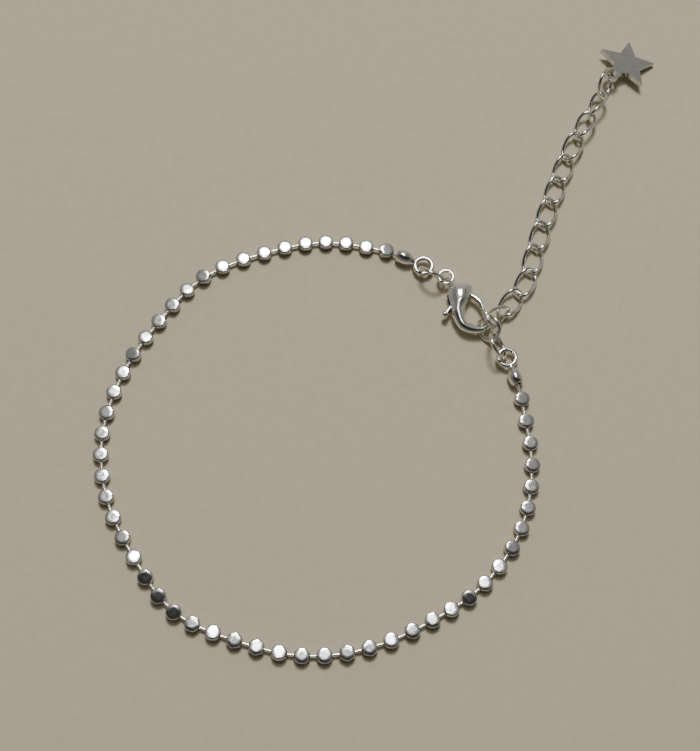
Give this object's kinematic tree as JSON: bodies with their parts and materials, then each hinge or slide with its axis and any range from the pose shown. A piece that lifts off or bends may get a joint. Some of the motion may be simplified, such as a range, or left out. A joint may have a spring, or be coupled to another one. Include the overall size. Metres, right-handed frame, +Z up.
{
  "type": "beaded bracelet",
  "caption": "Silver bracelet of drum beads on short bars, closed by a lobster clasp, with a curb extension chain that ends in a flat star charm.",
  "frame": {"origin": "under the middle of the whole bracelet with its chain laid out, on the surface that it lies on", "axes": "+Z up from the surface, +Y along the laid-out extension chain, away from the viewer, +X to the viewer's right"},
  "size_m": [0.073, 0.0927, 0.0043],
  "materials": {
    "bead_silver": "polished sides with lightly scratched flat faces",
    "polished_silver": "polished wire",
    "clasp_silver": "polished casting",
    "star_silver": "polished flat plate"
  },
  "bodies": {
    "bracelet": {"bead_string": "bead_silver", "end_cap_left": "polished_silver", "end_cap_right": "polished_silver", "jump_ring_left": "polished_silver", "jump_ring_right": "polished_silver", "hub_ring": "polished_silver", "clasp_body": "clasp_silver", "link_01": "polished_silver", "link_02": "polished_silver", "link_03": "polished_silver", "link_04": "polished_silver", "link_05": "polished_silver", "link_06": "polished_silver", "link_07": "polished_silver", "link_08": "polished_silver", "link_09": "polished_silver", "link_10": "polished_silver", "link_11": "polished_silver", "star_ring": "polished_silver", "star_charm": "star_silver"},
    "lever": {"clasp_lever": "clasp_silver"}
  },
  "joints": [
    {"name": "clasp_lever_hinge", "type": "hinge", "parent": "bracelet", "child": "lever", "pos_m": [0.00995, 0.0036, 0.0013], "axis": [0, 0, -1], "range_deg": [0, 24], "stiffness_Nm_per_rad": 0.001}
  ]
}
